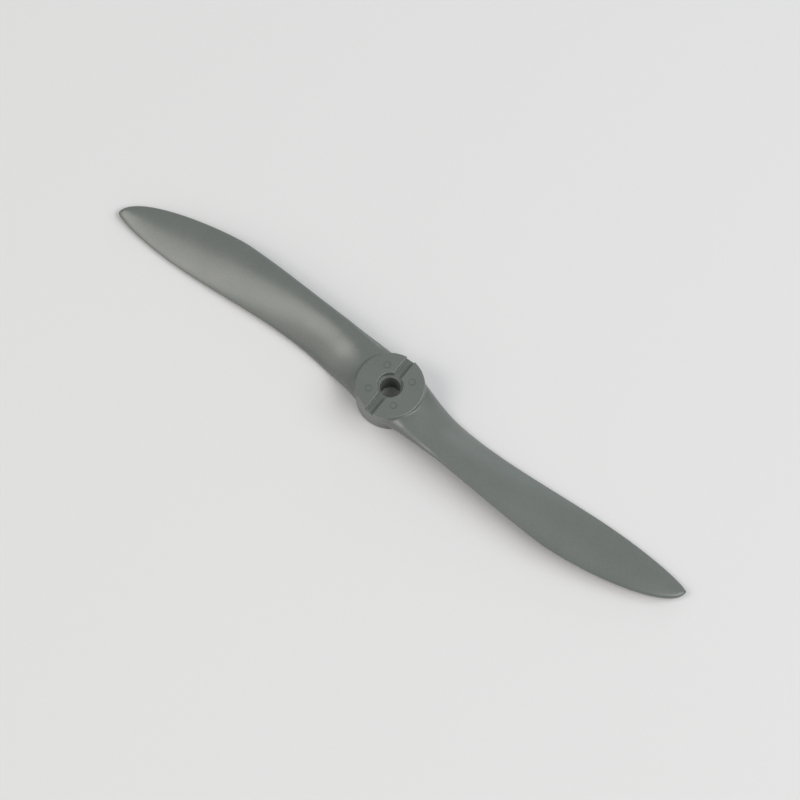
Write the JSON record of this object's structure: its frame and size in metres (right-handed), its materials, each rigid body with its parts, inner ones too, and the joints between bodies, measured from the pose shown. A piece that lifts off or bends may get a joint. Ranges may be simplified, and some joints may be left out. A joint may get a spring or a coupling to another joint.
{
  "type": "model aircraft propeller",
  "caption": "Slim two-blade fixed-pitch propeller with a round hub, stepped shaft bore and a slot across the front face.",
  "frame": {"origin": "on the bore axis, in the plane of the rear hub face", "axes": "+Z along the bore axis out of the front hub face; +X along blade 1; blade 1 has its leading edge on the -Y side"},
  "size_m": [0.2032, 0.023, 0.0096],
  "materials": {
    "nylon": "satin, glass-filled nylon"
  },
  "bodies": {
    "root": {"hub": "nylon", "blade_1": "nylon", "blade_2": "nylon"}
  },
  "joints": []
}
